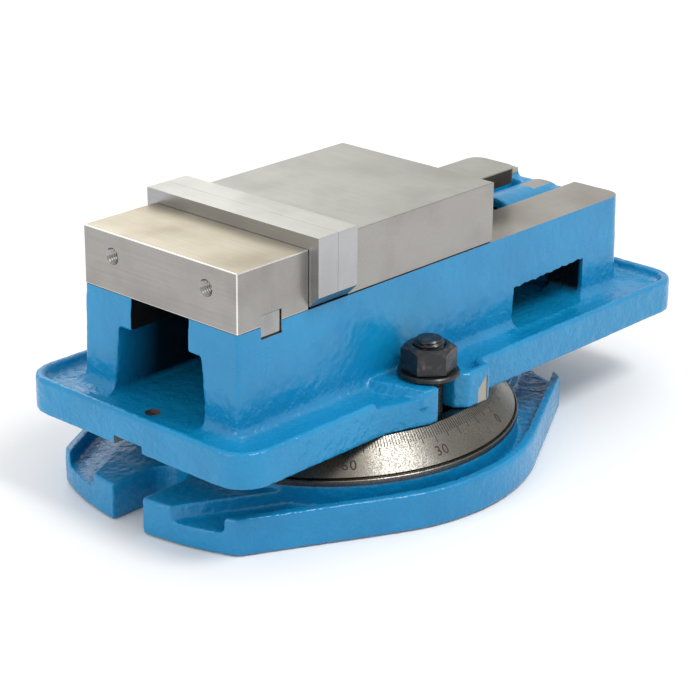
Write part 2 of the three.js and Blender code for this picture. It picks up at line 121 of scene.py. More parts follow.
# Swivel base
LOBE_HALF = 55.0
SIDE_R = 101.2
WALL_T = 5.0
CHANNEL_T = 16.0
WALL_TOP = 17.3
CHANNEL_FLOOR = 10.3
DIAL_R = 91.0
DIAL_SEAT = 20.6
LIP_TOP = 22.3
CONE_R = 89.6
CONE_TOP_R = 77.0
HOLD_SLOT_HALF = 9.5
HOLD_SLOT_X = 101.0
ZERO_ANGLE = -69.5
TICK_HALF = 0.17 / 80.0
NUMBER_DOWN = 12.6

# Movable jaw's block and the narrow tail behind it
BLOCK_END = 64.0
TAIL_LOW = WAY + 8.4
TAIL_TOP = WAY + 16.1
TAIL_HALF = 13.5

# How far pieces reach into the gaps that the CAD solids keep: between the jaw plates,
# and under the fixed jaw
PLATE_CLOSE = 0.13
JAW_DROP = 0.25

# Threads
M8 = {"radius": 4.0, "pitch": 1.25}
M10 = {"radius": 5.0, "pitch": 1.5}
M14 = {"radius": 6.9, "pitch": 2.0}
LEAD = {"radius": 9.6, "pitch": 5.0}
NUT_FLATS = 22.0

VOXEL = 0.9


# ---------------------------------------------------------------- node materials
class Look:
    """A Principled material built from procedural nodes."""

    def __init__(self, name, metallic=0.0):
        self.material = bpy.data.materials.new(name)
        self.material.use_nodes = True
        self.tree = self.material.node_tree
        self.shader = self.tree.nodes["Principled BSDF"]
        self.shader.inputs["Metallic"].default_value = metallic
        self.place = self.add("ShaderNodeTexCoord").outputs["Object"]
        self.height = None

    def add(self, kind, **settings):
        node = self.tree.nodes.new(kind)
        for key, value in settings.items():
            setattr(node, key, value)
        return node

    def link(self, source, socket):
        self.tree.links.new(source, socket)

    def stretched(self, scale):
        """Object place scaled by a number for each axis."""
        node = self.add("ShaderNodeMapping")
        node.inputs["Scale"].default_value = scale
        self.link(self.place, node.inputs["Vector"])
        return node.outputs["Vector"]

    def noise(self, scale, detail=2.0, where=None, rough=0.5):
        node = self.add("ShaderNodeTexNoise")
        node.inputs["Scale"].default_value = scale
        node.inputs["Detail"].default_value = detail
        node.inputs["Roughness"].default_value = rough
        self.link(where or self.place, node.inputs["Vector"])
        return node.outputs["Fac"]

    def ramp(self, value, low, high, out_low=0.0, out_high=1.0):
        node = self.add("ShaderNodeMapRange")
        node.inputs["From Min"].default_value = low
        node.inputs["From Max"].default_value = high
        node.inputs["To Min"].default_value = out_low
        node.inputs["To Max"].default_value = out_high
        self.link(value, node.inputs["Value"])
        return node.outputs["Result"]

    def mix(self, factor, first, second):
        """A colour between two, each a socket or a colour."""
        node = self.add("ShaderNodeMix", data_type="RGBA")
        self.link(factor, node.inputs["Factor"])
        for name, colour in (("A", first), ("B", second)):
            socket = [s for s in node.inputs if s.name == name and s.type == "RGBA"][0]
            if isinstance(colour, tuple):
                socket.default_value = (*colour, 1.0)
            else:
                self.link(colour, socket)
        return [s for s in node.outputs if s.type == "RGBA"][0]

    def times(self, first, second):
        node = self.add("ShaderNodeMath", operation="MULTIPLY")
        self.link(first, node.inputs[0])
        self.link(second, node.inputs[1])
        return node.outputs["Value"]

    def within(self, low, high, fade):
        """1 inside a box in millimetres, falling to 0 over fade outside each (low, high) side."""
        split = self.add("ShaderNodeSeparateXYZ")
        self.link(self.place, split.inputs["Vector"])
        mask = None
        for axis in range(3):
            place = split.outputs[axis]
            start, end = low[axis] * MM, high[axis] * MM
            before, after = fade[axis]
            for outside, inside in ((start - before * MM, start), (end + after * MM, end)):
                side = self.ramp(place, outside, inside)
                mask = self.times(mask, side) if mask else side
        return mask

    def colour(self, socket):
        self.link(socket, self.shader.inputs["Base Color"])

    def roughness(self, socket):
        self.link(socket, self.shader.inputs["Roughness"])

    def bump(self, height, distance, strength=1.0):
        """Adds a layer of relief; distance is in metres."""
        node = self.add("ShaderNodeBump")
        if isinstance(strength, float):
            node.inputs["Strength"].default_value = strength
        else:
            self.link(strength, node.inputs["Strength"])
        node.inputs["Distance"].default_value = distance
        self.link(height, node.inputs["Height"])
        if self.height is not None:
            self.link(self.height, node.inputs["Normal"])
        self.height = node.outputs["Normal"]
        self.link(self.height, self.shader.inputs["Normal"])


def enamel(name, deep, bright, smooth_from):
    """Glossy enamel over sand-cast iron, pebbled below a level in millimetres and calmer above it.
    The bed's tunnel past its mouth and the reveals of the windows get painted shade: their colour goes near
    black where shade falls."""
    look = Look(name)
    cloud = look.noise(28.0, 3.0)
    paint = look.mix(look.ramp(cloud, 0.3, 0.7), deep, bright)
    # painted shade: near-black colour put inside the tunnel and the window reveals
    painted_shade_colour = (0.004, 0.006, 0.010)
    # masks of where the painted shade goes: the tunnel past its mouth and the window reveals
    tunnel = look.within(
        (REAR + 24, -CAVITY_HALF_BOTTOM - 1, TRAY_FLOOR + 2.5),
        (WALL_INSIDE - 3, CAVITY_HALF_BOTTOM + 1, CAVITY_TOP + 1),
        ((23, 2), (0.6, 0.6), (2.5, 0.6)),
    )
    windows = look.within(
        (WINDOW_REAR - 4, -HALF + 1.5, TRAY_FLOOR + 5),
        (WALL_INSIDE - 4, HALF - 1.5, WINDOW_TOP + 3),
        ((1, 1), (1.5, 1.5), (4, 0.5)),
    )
    look.colour(look.mix(windows, look.mix(tunnel, paint, painted_shade_colour), painted_shade_colour))
    far = 999
    pebbled = look.within((-far, -far, -far), (far, far, smooth_from), ((1, 1), (1, 1), (1, 6)))
    look.roughness(look.ramp(look.noise(90.0, 3.0), 0.3, 0.7, 0.18, 0.32))
    look.bump(look.noise(150.0, 2.0), 0.0011, look.ramp(pebbled, 0.0, 1.0, 0.2, 0.7))
    look.bump(look.noise(520.0, 2.0), 0.00042, look.ramp(pebbled, 0.0, 1.0, 0.2, 0.85))
    look.bump(look.noise(1400.0, 1.0), 0.00006, 0.35)
    return look.material


def ground(name, clean, stained, along, roughness):
    """Surface-ground steel: fine lines along one axis, faint stains and scratches."""
    look = Look(name, metallic=1.0)
    scale = [1600.0, 1600.0, 1600.0]
    scale["xyz".index(along)] = 18.0
    lines = look.noise(1.0, 2.0, look.stretched(scale), 0.7)
    blotch = look.ramp(look.noise(34.0, 4.0), 0.44, 0.68)
    smear = look.ramp(look.noise(9.0, 5.0), 0.5, 0.75)
    tone = look.mix(blotch, clean, stained)
    darker = tuple(c * 0.80 for c in stained)
    tone = look.mix(look.ramp(lines, 0.3, 0.75, 0.0, 0.35), tone, darker)
    grit = look.ramp(look.noise(2400.0, 3.0), 0.52, 0.74, 0.0, 0.35)
    tone = look.mix(grit, tone, darker)
    look.colour(look.mix(look.ramp(smear, 0.0, 1.0, 0.0, 0.4), tone, darker))
    low, high = roughness
    look.roughness(look.ramp(look.noise(46.0, 4.0), 0.3, 0.75, low, high))
    look.bump(lines, 0.00004, 0.35)
    look.bump(look.noise(900.0, 2.0), 0.00002, 0.25)
    return look.material


def turned_iron(name):
    """Turned cast iron: rings about Z and open grain."""
    look = Look(name, metallic=1.0)
    flat = look.add("ShaderNodeVectorMath", operation="MULTIPLY")
    flat.inputs[1].default_value = (1.0, 1.0, 0.0)
    look.link(look.place, flat.inputs[0])
    radius = look.add("ShaderNodeVectorMath", operation="LENGTH")
    look.link(flat.outputs["Vector"], radius.inputs[0])
    ring = look.add("ShaderNodeCombineXYZ")
    look.link(radius.outputs["Value"], ring.inputs["X"])
    rings = look.noise(3800.0, 2.0, ring.outputs["Vector"])
    grain = look.noise(1500.0, 3.0)
    tone = look.mix(look.ramp(grain, 0.35, 0.7), (0.235, 0.225, 0.20), (0.10, 0.095, 0.085))
    look.colour(look.mix(look.ramp(look.noise(26.0, 3.0), 0.4, 0.75), tone, (0.12, 0.105, 0.085)))
    look.roughness(look.ramp(grain, 0.3, 0.7, 0.24, 0.40))
    look.bump(rings, 0.00005, 0.35)
    look.bump(grain, 0.00006, 0.4)
    return look.material


def oxide(name):
    """Black oxide with brown wear."""
    look = Look(name, metallic=0.75)
    wear = look.ramp(look.noise(240.0, 4.0), 0.56, 0.74)
    look.colour(look.mix(wear, (0.040, 0.041, 0.044), (0.125, 0.095, 0.078)))
    look.roughness(look.ramp(look.noise(500.0, 3.0), 0.3, 0.7, 0.24, 0.42))
    look.bump(look.noise(1100.0, 2.0), 0.00005, 0.4)
    return look.material


def filled_mark(name):
    """Dark fill of an engraved line or number."""
    look = Look(name)
    speck = look.noise(1800.0, 2.0)
    look.colour(look.mix(look.ramp(speck, 0.35, 0.75), (0.012, 0.011, 0.012), (0.05, 0.045, 0.04)))
    look.roughness(look.ramp(speck, 0.3, 0.7, 0.6, 0.85))
    look.bump(speck, 0.00004, 0.4)
    return look.material


def rusty_bore(name):
    """Drilled bore with light rust."""
    look = Look(name, metallic=0.6)
    rust = look.ramp(look.noise(420.0, 4.0), 0.4, 0.62)
    look.colour(look.mix(rust, (0.20, 0.17, 0.15), (0.16, 0.06, 0.028)))
    look.roughness(look.ramp(rust, 0.0, 1.0, 0.45, 0.8))
    look.bump(look.noise(1300.0, 3.0), 0.0001, 0.5)
    return look.material


def pale_floor(name):
    look = Look(name)
    tone = look.noise(4.0, 2.0)
    look.colour(look.mix(tone, (0.90, 0.90, 0.905), (0.93, 0.93, 0.93)))
    look.roughness(look.ramp(tone, 0.0, 1.0, 0.55, 0.65))
    return look.material


BODY_PAINT = enamel("body_enamel", (0.002, 0.205, 0.43), (0.004, 0.255, 0.51), TRAY_FLOOR + 8)
BASE_PAINT = enamel("base_enamel", (0.002, 0.190, 0.41), (0.004, 0.235, 0.48), CHANNEL_FLOOR + 3)
JAW_STEEL = ground("ground_jaw", (0.38, 0.365, 0.345), (0.30, 0.285, 0.27), "y", (0.3, 0.44))
# painted light: brighter copy of the jaw steel for the faces that point up
LIT_TOP_STEEL = ground("ground_jaw_painted_light_top", (0.50, 0.50, 0.455), (0.41, 0.405, 0.36), "y", (0.34, 0.48))
# warmer tint of the steel, and painted light: a brighter copy for the fixed jaw's top face
WARM_LIT_TOP_STEEL = ground("ground_fixed_painted_light_top", (0.57, 0.515, 0.40), (0.44, 0.385, 0.29), "y", (0.36, 0.5))
WAY_STEEL = ground("ground_ways", (0.47, 0.45, 0.41), (0.38, 0.355, 0.31), "x", (0.34, 0.48))
PLATE_STEEL = ground("ground_plate", (0.46, 0.46, 0.47), (0.40, 0.40, 0.40), "y", (0.3, 0.42))
# painted light: brighter copy of the plate steel for the faces that point up
PLATE_LIT_TOP_STEEL = ground("ground_plate_painted_light_top", (0.60, 0.60, 0.55), (0.51, 0.51, 0.46), "y", (0.34, 0.46))
# painted highlight: near-white steel for the bevelled edges, standing in for edge glints
EDGE_HIGHLIGHT_STEEL = ground("painted_edge_highlight", (0.86, 0.85, 0.82), (0.74, 0.72, 0.68), "y", (0.2, 0.3))
SCREW_STEEL = ground("turned_steel", (0.40, 0.40, 0.40), (0.28, 0.275, 0.27), "y", (0.26, 0.4))
TAPPED_STEEL = ground("tapped_steel", (0.42, 0.41, 0.40), (0.20, 0.19, 0.18), "z", (0.16, 0.26))
# painted shade: near-black copy of the ground steel, for faces that lie in shade
SHADE_STEEL = ground("painted_shade_steel", (0.085, 0.08, 0.072), (0.05, 0.045, 0.04), "x", (0.4, 0.55))
DIAL_IRON = turned_iron("dial_iron")
BLACK = oxide("black_oxide")
MARK = filled_mark("mark_fill")
RUST = rusty_bore("rusty_bore")


# ---------------------------------------------------------------- outlines
def arc(cx, cy, radius, start, end, steps):
    """Points on an arc; angles in degrees."""
    points = []
    for i in range(steps + 1):
        angle = math.radians(start + (end - start) * i / steps)
        points.append((cx + radius * math.cos(angle), cy + radius * math.sin(angle)))
    return points


def rounded(corners, steps=6):
    """Closed outline from (x, y, radius) corners, each replaced by a tangent arc."""
    points = []
    count = len(corners)
    for i, (x, y, radius) in enumerate(corners):
        here = Vector((x, y))
        back = (Vector(corners[i - 1][:2]) - here).normalized()
        ahead = (Vector(corners[(i + 1) % count][:2]) - here).normalized()
        if radius <= 0:
            points.append((x, y))
            continue
        half = back.angle(ahead) / 2
        reach = radius / math.tan(half)
        centre = here + (back + ahead).normalized() * (radius / math.sin(half))
        first = here + back * reach - centre
        last = here + ahead * reach - centre
        sweep = first.angle_signed(last)
        for k in range(steps + 1):
            turned = first.copy()
            turned.rotate(Matrix.Rotation(-sweep * k / steps, 2))
            points.append(tuple(centre + turned))
    return points


def inset(points, distance):
    """Closed counter-clockwise outline drawn inwards by distance (outwards if negative)."""
    result = []
    count = len(points)
    for i, point in enumerate(points):
        here = Vector(point)
        before = here - Vector(points[i - 1])
        after = Vector(points[(i + 1) % count]) - here
        normals = [Vector((-d.y, d.x)).normalized() for d in (before, after) if d.length > 1e-6]
        mean = sum(normals, Vector((0.0, 0.0)))
        mean.normalize()
        stretch = max(mean.dot(normals[0]), 0.4)
        result.append(tuple(here + mean * (distance / stretch)))
    return result


# ---------------------------------------------------------------- meshes
def make(name, vertices, faces, materials, index=0):
    """Mesh object from millimetre vertices, with every face in one material slot."""
    mesh = bpy.data.meshes.new(name)
    mesh.from_pydata([Vector(v) * MM for v in vertices], [], faces)
    for material in materials:
        mesh.materials.append(material)
    shape = bmesh.new()
    shape.from_mesh(mesh)
    bmesh.ops.remove_doubles(shape, verts=shape.verts, dist=1e-7)
    bmesh.ops.recalc_face_normals(shape, faces=shape.faces)
    for face in shape.faces:
        face.material_index = index
    shape.to_mesh(mesh)
    shape.free()
    piece = bpy.data.objects.new(name, mesh)
    scene.collection.objects.link(piece)
    return piece


def loft(name, rings, materials, index=0):
    """Solid through rings of 3-D points, closed by flat ends."""
    size = len(rings[0])
    vertices = [p for ring in rings for p in ring]
    faces = []
    for j in range(len(rings) - 1):
        for i in range(size):
            k = (i + 1) % size
            faces.append((j * size + i, j * size + k, (j + 1) * size + k, (j + 1) * size + i))
    faces.append(tuple(reversed(range(size))))
    faces.append(tuple(range((len(rings) - 1) * size, len(rings) * size)))
    return make(name, vertices, faces, materials, index)


def stack(name, outline, levels, materials, index=0):
    """Solid of one outline drawn in by each level's inset: levels are (z, inset) pairs."""
    rings = [[(x, y, z) for x, y in inset(outline, d)] for z, d in levels]
    return loft(name, rings, materials, index)


def prism(name, outline, start, end, axis, materials, index=0):
    """Outline run along an axis: (x, y) for z, (y, z) for x, (x, z) for y."""
    at = {
        "x": lambda a, b, t: (t, a, b),
        "y": lambda a, b, t: (a, t, b),
        "z": lambda a, b, t: (a, b, t),
    }[axis]
    rings = [[at(a, b, t) for a, b in outline] for t in (start, end)]
    return loft(name, rings, materials, index)


def block(name, low, high, materials, index=0):
    outline = [(low[0], low[1]), (high[0], low[1]), (high[0], high[1]), (low[0], high[1])]
    return prism(name, outline, low[2], high[2], "z", materials, index)


def lathe(name, profile, centre, axis, materials, steps=96, index=0):
    """Profile of (radius, place) turned about an axis through centre.
    A profile that starts and ends on the axis is a solid, any other closes on itself."""
    solid = profile[0][0] == 0 and profile[-1][0] == 0
    vertices = []
    for i in range(steps):
        angle = math.tau * i / steps
        for radius, place in profile:
            a, b = radius * math.cos(angle), radius * math.sin(angle)
            local = (a, b, place) if axis == "z" else (place, a, b)
            vertices.append(tuple(c + v for c, v in zip(centre, local)))
    size = len(profile)
    last = size - 1 if solid else size
    faces = []
    for i in range(steps):
        k = (i + 1) % steps
        for j in range(last):
            n = (j + 1) % size
            corners = [i * size + j, k * size + j, k * size + n, i * size + n]
            if solid and j == 0:
                corners.remove(k * size)
                corners[0] = 0
            if solid and j == last - 1:
                corners = [i * size + j, k * size + j, last]
            faces.append(corners)
    return make(name, vertices, faces, materials, index)


def rod(name, radius, start, end, centre, axis, materials, index=0, steps=64, chamfer=0.0):
    profile = [(0, start), (radius - chamfer, start)]
    if chamfer:
        profile += [(radius, start + chamfer), (radius, end - chamfer)]
    profile += [(radius - chamfer, end), (0, end)]
    return lathe(name, profile, centre, axis, materials, steps, index)


def thread(name, kind, start, end, centre, axis, materials, index=0, grow=0.0, taper=0.0):
    """Solid with a helical thread. taper is the length over which each end is chamfered."""
    radius = kind["radius"] + grow
    pitch = kind["pitch"]
    depth = 0.5 * pitch if kind is LEAD else 0.56 * pitch
    turns = 40
    rows = max(4, round((end - start) / pitch * 10))
    rings = []
    for j in range(rows + 1):
        along = start + (end - start) * j / rows
        edge = min(along - start, end - along)
        ring = []
        for i in range(turns):
            angle = math.tau * i / turns
            phase = (along / pitch - i / turns) % 1.0
            wave = abs(2.0 * phase - 1.0)
            if kind is LEAD:
                wave = min(max(2.2 * wave - 0.6, 0.0), 1.0)
            here = radius - depth * wave
            if taper and edge < taper:
                here = min(here, radius - (taper - edge))
            a, b = here * math.cos(angle), here * math.sin(angle)
            local = (a, b, along) if axis == "z" else (along, a, b)
            ring.append(tuple(c + v for c, v in zip(centre, local)))
        rings.append(ring)
    return loft(name, rings, materials, index)


def bake(piece):
    """Applies the modifiers of a piece."""
    graph = bpy.context.evaluated_depsgraph_get()
    mesh = bpy.data.meshes.new_from_object(piece.evaluated_get(graph))
    old = piece.data
    piece.modifiers.clear()
    piece.data = mesh
    bpy.data.meshes.remove(old)


def combine(piece, tool, operation):
    modifier = piece.modifiers.new("combine", "BOOLEAN")
    modifier.solver = "MANIFOLD"
    modifier.operation = operation
    modifier.object = tool
    bake(piece)
    bpy.data.objects.remove(tool)


def join(piece, *tools):
    for tool in tools:
        combine(piece, tool, "UNION")


def cut(piece, *tools):
    for tool in tools:
        combine(piece, tool, "DIFFERENCE")


def ease_edges(piece, width):
    """Small bevel on every sharp edge."""
    modifier = piece.modifiers.new("ease", "BEVEL")
    modifier.width = width * MM
    modifier.segments = 2
    modifier.limit_method = "ANGLE"
    modifier.angle_limit = math.radians(35.0)
    modifier.harden_normals = False
    bake(piece)


def smooth(piece, angle=32.0):
    """Smooth shading that stays sharp past an angle, with flat faces kept flat."""
    piece.data.shade_smooth()
    piece.data.set_sharp_from_angle(angle=math.radians(angle))
    weights = piece.modifiers.new("flat", "WEIGHTED_NORMAL")
    weights.keep_sharp = True
    weights.weight = 100


def cast(piece, swell, lump):
    """Turns a joined solid into a sand casting: soft edges and an uneven skin."""
    remesh = piece.modifiers.new("voxel", "REMESH")
    remesh.mode = "VOXEL"
    remesh.voxel_size = VOXEL * MM
    bake(piece)
    soften = piece.modifiers.new("soften", "SMOOTH")
    soften.factor = 0.5
    soften.iterations = 4
    for name, size, amount in (("swell", 22.0, swell), ("lump", 3.2, lump)):
        texture = bpy.data.textures.new(name, "CLOUDS")
        texture.noise_scale = size * MM
        texture.noise_depth = 1
        relief = piece.modifiers.new(name, "DISPLACE")
        relief.texture = texture
        relief.texture_coords = "LOCAL"
        relief.strength = amount * MM
        relief.mid_level = 0.5
    bake(piece)


def finish_piece(piece, body, slot, *nodes):
    """Puts a finished piece on its body, in the place of its CAD nodes."""
    if nodes:
        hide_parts(*nodes)
    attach(piece, body)


# ---------------------------------------------------------------- camera, floor and light
def make_camera():
    azimuth, elevation, roll = math.radians(-46.81), math.radians(21.30), math.radians(0.17)
    target = Vector((-0.0084, 0.0, 0.0555))
    distance = 1.007
    back = Vector((
        math.sin(azimuth) * math.cos(elevation),
        -math.cos(azimuth) * math.cos(elevation),
        math.sin(elevation),
    ))
    level = Vector((math.cos(azimuth), math.sin(azimuth), 0.0))
    upward = back.cross(level)
    right = level * math.cos(roll) + upward * math.sin(roll)
    up = upward * math.cos(roll) - level * math.sin(roll)
    data = bpy.data.cameras.new("camera")
    data.lens = 112.6
    data.sensor_width = 36.0
    data.shift_x = 0.0563
    data.shift_y = -0.0175
    camera = bpy.data.objects.new("camera", data)
    turn = Matrix((right, up, back)).transposed().to_4x4()
    camera.matrix_world = Matrix.Translation(target + back * distance) @ turn
    scene.collection.objects.link(camera)
    scene.camera = camera


def softbox(name, place, size, power):
    data = bpy.data.lights.new(name, "AREA")
    data.shape = "SQUARE"
    data.size = size
    data.energy = power
    lamp = bpy.data.objects.new(name, data)
    place = Vector(place)
    lamp.location = place
    lamp.rotation_euler = (place - Vector((0.0, 0.0, 0.05))).to_track_quat("Z", "Y").to_euler()
    scene.collection.objects.link(lamp)


def make_studio():
    reach = 9.0
    mesh = bpy.data.meshes.new("floor")
    corners = [(-reach, -reach, 0), (reach, -reach, 0), (reach, reach, 0), (-reach, reach, 0)]
    mesh.from_pydata(corners, [], [(0, 1, 2, 3)])
    mesh.materials.append(pale_floor("floor"))
    floor = bpy.data.objects.new("floor", mesh)
    floor.location.z = -0.0003
    scene.collection.objects.link(floor)
    softbox("key", (0.35, -1.10, 1.95), 0.7, 22.0)
    softbox("left", (-1.9, 0.2, 1.0), 1.2, 10.0)
    softbox("back", (0.9, 1.7, 1.3), 1.2, 7.0)
    world = bpy.data.worlds.new("studio")
    scene.world = world
    world.use_nodes = True
    background = world.node_tree.nodes["Background"]
    background.inputs["Color"].default_value = (1.0, 1.0, 1.0, 1.0)
    background.inputs["Strength"].default_value = 0.8
    scene.view_settings.view_transform = "Standard"


# ---------------------------------------------------------------- vise body
def tray_outline():
    x0, x1 = BODY_LOW[0], BODY_HIGH[0]
    side = [
        (EAR_FLAT + 3.5, TRAY_HALF, 2.5),
        (EAR_FLAT, EAR_HALF, 3.0),
        (-EAR_SLOT_HALF - 5, EAR_HALF, 4.0),
        (EAR_START, TRAY_HALF, 12.0),
    ]
    far = [(x1, TRAY_HALF, TRAY_CORNER), *side, (x0, TRAY_HALF, TRAY_CORNER)]
    near = [(x, -y, r) for x, y, r in reversed(far)]
    return rounded(far + near)


def bed_outline():
    return rounded([
        (REAR, -HALF, 0.6),
        (BED_END, -HALF, BED_CORNER),
        (BED_END, HALF, BED_CORNER),
        (REAR, HALF, 0.6),
    ])


def make_tray(materials):
    floor, rim = TRAY_FLOOR, RIM_TOP
    levels = [
        (BODY_BOTTOM, 0.3),
        (BODY_BOTTOM + 0.5, 0.0),
        (rim - 1.0, 0.0),
        (rim, 1.0),
        (rim, 3.4),
        (rim - 0.9, 4.3),
        (floor + 1.2, 5.0),
        (floor - 0.2, 6.6),
        (floor - 0.5, 8.6),
    ]
    return stack("tray", tray_outline(), levels, materials)


def make_bed(materials):
    levels = [(TRAY_FLOOR - 3, -BED_COVE - BED_DRAFT)]
    for step in range(7):
        angle = math.radians(15 * step)
        rise = BED_COVE * (1 - math.cos(angle))
        levels.append((TRAY_FLOOR + rise, -BED_COVE * (1 - math.sin(angle)) - BED_DRAFT))
    levels.append((WAY + 3, 0.0))
    return stack("bed", bed_outline(), levels, materials)


def make_boss(side, materials):
    """Raised seat of a clamp nut, sloping down to the tray floor on both sides."""
    foot = [(-27.0, 44), (24.5, 44), (23.5, 52), (21.5, 76.6), (-18.0, 76.6), (-26.0, 52)]
    seat = [(-22.6, 44), (18.0, 44), (17.5, 50), (16.0, 76.2), (-15.4, 76.2), (-22.2, 52)]
    rings = [
        [(x, side * y, TRAY_FLOOR - 4) for x, y in foot],
        [(x, side * y, TRAY_FLOOR) for x, y in foot],
        [(x, side * y, PAD_TOP) for x, y in seat],
    ]
    return loft("boss", rings, materials)


def notch_cutter(side, materials):
    """Drain notch through the rim beside an ear."""
    start, end = sorted((side * 60.0, side * (EAR_HALF + 3)))
    low = (NOTCH_START, start, TRAY_FLOOR + 0.4)
    return block("notch", low, (NOTCH_END, end, RIM_TOP + 3), materials)


def tunnel_cutter(start, floor, materials):
    section = rounded([
        (-CAVITY_HALF_BOTTOM, floor, 1.0),
        (CAVITY_HALF_BOTTOM, floor, 2.5),
        (CAVITY_HALF_TOP, CAVITY_TOP, 0.5),
        (-CAVITY_HALF_TOP, CAVITY_TOP, 0.5),
    ])
    return prism("tunnel", section, start, WALL_INSIDE, "x", materials)


def window_cutter(side, materials):
    """Side window with a roughly ground top edge."""
    floor = TRAY_FLOOR + 0.3
    top_rear = WINDOW_REAR + 1.6
    sill = rounded([
        (WINDOW_REAR - 0.5, floor, 2.0),
        (WINDOW_FRONT - 0.6, floor, 7.0),
        (WINDOW_FRONT, WINDOW_TOP, 0),
        (top_rear, WINDOW_TOP, 0),
    ])[:-2]
    bites = 26
    top = []
    for i in range(bites + 1):
        share = i / bites
        x = WINDOW_FRONT + (top_rear - WINDOW_FRONT) * share
        ragged = 0.3 * math.sin(4.1 * i) + 0.2 * math.sin(7.3 * i + side)
        top.append((x, WINDOW_TOP + 1.4 * (1 - share) + ragged - 0.4))
    start, end = sorted((side * 20.0, side * (HALF + 12)))
    return prism("window", sill + top, start, end, "y", materials)


def ear_slot_cutter(side, materials):
    half = EAR_SLOT_HALF
    mouth = [(half, EAR_HALF - 4.5), (half + 10, EAR_HALF + 4), (-half, EAR_HALF + 4)]
    outline = [*mouth, *arc(0, BOLT_R, half, 180, 360, 12)]
    outline = [(x, side * y) for x, y in outline]
    return prism("ear_slot", outline, BODY_BOTTOM - 5, RIM_TOP + 5, "z", materials)


def make_body():
    materials = [BODY_PAINT, WAY_STEEL, RUST, SHADE_STEEL]
    body = make_tray(materials)
    body.name = "vise_casting"
    join(body, make_bed(materials))
    cut(body, notch_cutter(-1, materials), notch_cutter(1, materials))
    join(body, make_boss(-1, materials), make_boss(1, materials))
    cut(body, tunnel_cutter(BODY_LOW[0] + 5.5, TRAY_FLOOR, materials))
    half, over = SLOT_HALF - 0.6, WAY + 6
    above = block("above", (WALL_INSIDE - 2, -half, SCREW_Z), (BED_END + 2, half, over), materials)
    through = block("through", (REAR - 2, -half, CAVITY_TOP - 3), (WALL_INSIDE, half, over), materials)
    cut(body, above, through)
    join(body, rod("housing", HOUSING_R, HOUSING_REAR, BED_END, (0, 0, SCREW_Z), "x", materials))
    for side in (-1, 1):
        start, end = sorted((side * 9.0, side * (SLOT_HALF + 1)))
        join(body, block("web", (BED_END - 7, start, SCREW_Z), (BED_END - 0.4, end, WAY - 3.6), materials))
        cut(body, ear_slot_cutter(side, materials))
    cast(body, 0.3, 0.28)
    machine_body(body, materials)
    smooth(body, 38.0)
    finish_piece(body, "vise", "body_enamel", "vise_body")


def machine_body(body, materials):
    """Cuts the crisp openings and the ground and drilled faces into the casting."""
    far = EAR_HALF + 9
    over = WAY + 5
    centre = (0, 0, SCREW_Z)

    def mill(name, low, high, index=1):
        cut(body, block(name, low, high, materials, index))

    crisp = tunnel_cutter(REAR - 14, TRAY_FLOOR - 0.35, materials)
    cut(crisp, rod("housing", HOUSING_R + 1, HOUSING_REAR - 1, WALL_INSIDE + 9, centre, "x", materials))
    cut(body, crisp, window_cutter(-1, materials), window_cutter(1, materials))
    mill("top", (REAR - 9, -far, WAY), (BED_END + 9, far, WAY + 9))
    mill("under", (REAR - 40, -far, 20), (BED_END + 40, far, BODY_BOTTOM))
    # painted shade: the slot's walls take the near-black shade steel (index 3)
    mill("slot", (REAR - 5, -SLOT_HALF, CAVITY_TOP - 1), (HOUSING_REAR - 0.4, SLOT_HALF, over), 3)
    mill("front_slot", (HOUSING_REAR - 5, -SLOT_HALF, WAY - 2.3), (BED_END + 5, SLOT_HALF, over))
    mill("key", (KEY_LOW[0] - GAP, -far, KEY_LOW[2] - GAP), (KEY_HIGH[0] + GAP, far, over))
    mill("flat", (BED_END - 16, -8, SCREW_Z + HOUSING_R - 0.5), (BED_END + 5, 8, over))
    mill("keyway", (-150, -KEYWAY_HALF, 20), (200, KEYWAY_HALF, BODY_BOTTOM + KEYWAY_DEPTH))
    pocket = rod("pocket", POCKET_R, HOUSING_REAR - 5, POCKET_FLOOR, centre, "x", materials, 1)
    bore = rod("bore", JOURNAL_R + 0.5, 110, BED_END + 9, centre, "x", materials, 1)
    pivot = rod("pivot", PIVOT_BORE_R, 20, TRAY_FLOOR - 3, (0, 0, 0), "z", materials, 1)
    cut(body, pocket, bore, pivot)
    for x in DRAIN_X:
        cut(body, rod("drill", DRAIN_R, 20, RIM_TOP, (x, 0, 0), "z", materials, 2, 32))
    low, high = box_mm("fixed_jaw_bolt_far")
    for side in (-1, 1):
        place = ((low[0] + high[0]) / 2, side * (low[1] + high[1]) / 2, 0)
        cut(body, rod("bolt", BOLT_BORE_R, 20, over, place, "z", materials, 1, 32))
        cut(body, rod("sink", BOLT_SINK_R, 20, BODY_BOTTOM + 12, place, "z", materials, 1, 32))
        start, end = sorted((side * (EAR_HALF - INDEX_DEPTH), side * (EAR_HALF + 3)))
        patch = [
            (INDEX_START, 20),
            (INDEX_END, 20),
            (INDEX_END, RIM_TOP - 4.5),
            (INDEX_END - 1.4, RIM_TOP - 4.5),
            (INDEX_START, BODY_BOTTOM + 7),
        ]
        cut(body, prism("index", patch, start, end, "y", materials, 1))


# ---------------------------------------------------------------- swivel base
def base_outline():
    corner = math.degrees(math.asin(LOBE_HALF / LOBE_R))
    tangent = corner + math.degrees(math.acos(SIDE_R / LOBE_R))
    return [
        *arc(0, 0, LOBE_R, -corner, corner, 24),
        *arc(0, 0, SIDE_R, tangent, 180 - tangent, 30),
        *arc(0, 0, LOBE_R, 180 - corner, 180 + corner, 24),
        *arc(0, 0, SIDE_R, 180 + tangent, 360 - tangent, 30),
    ]


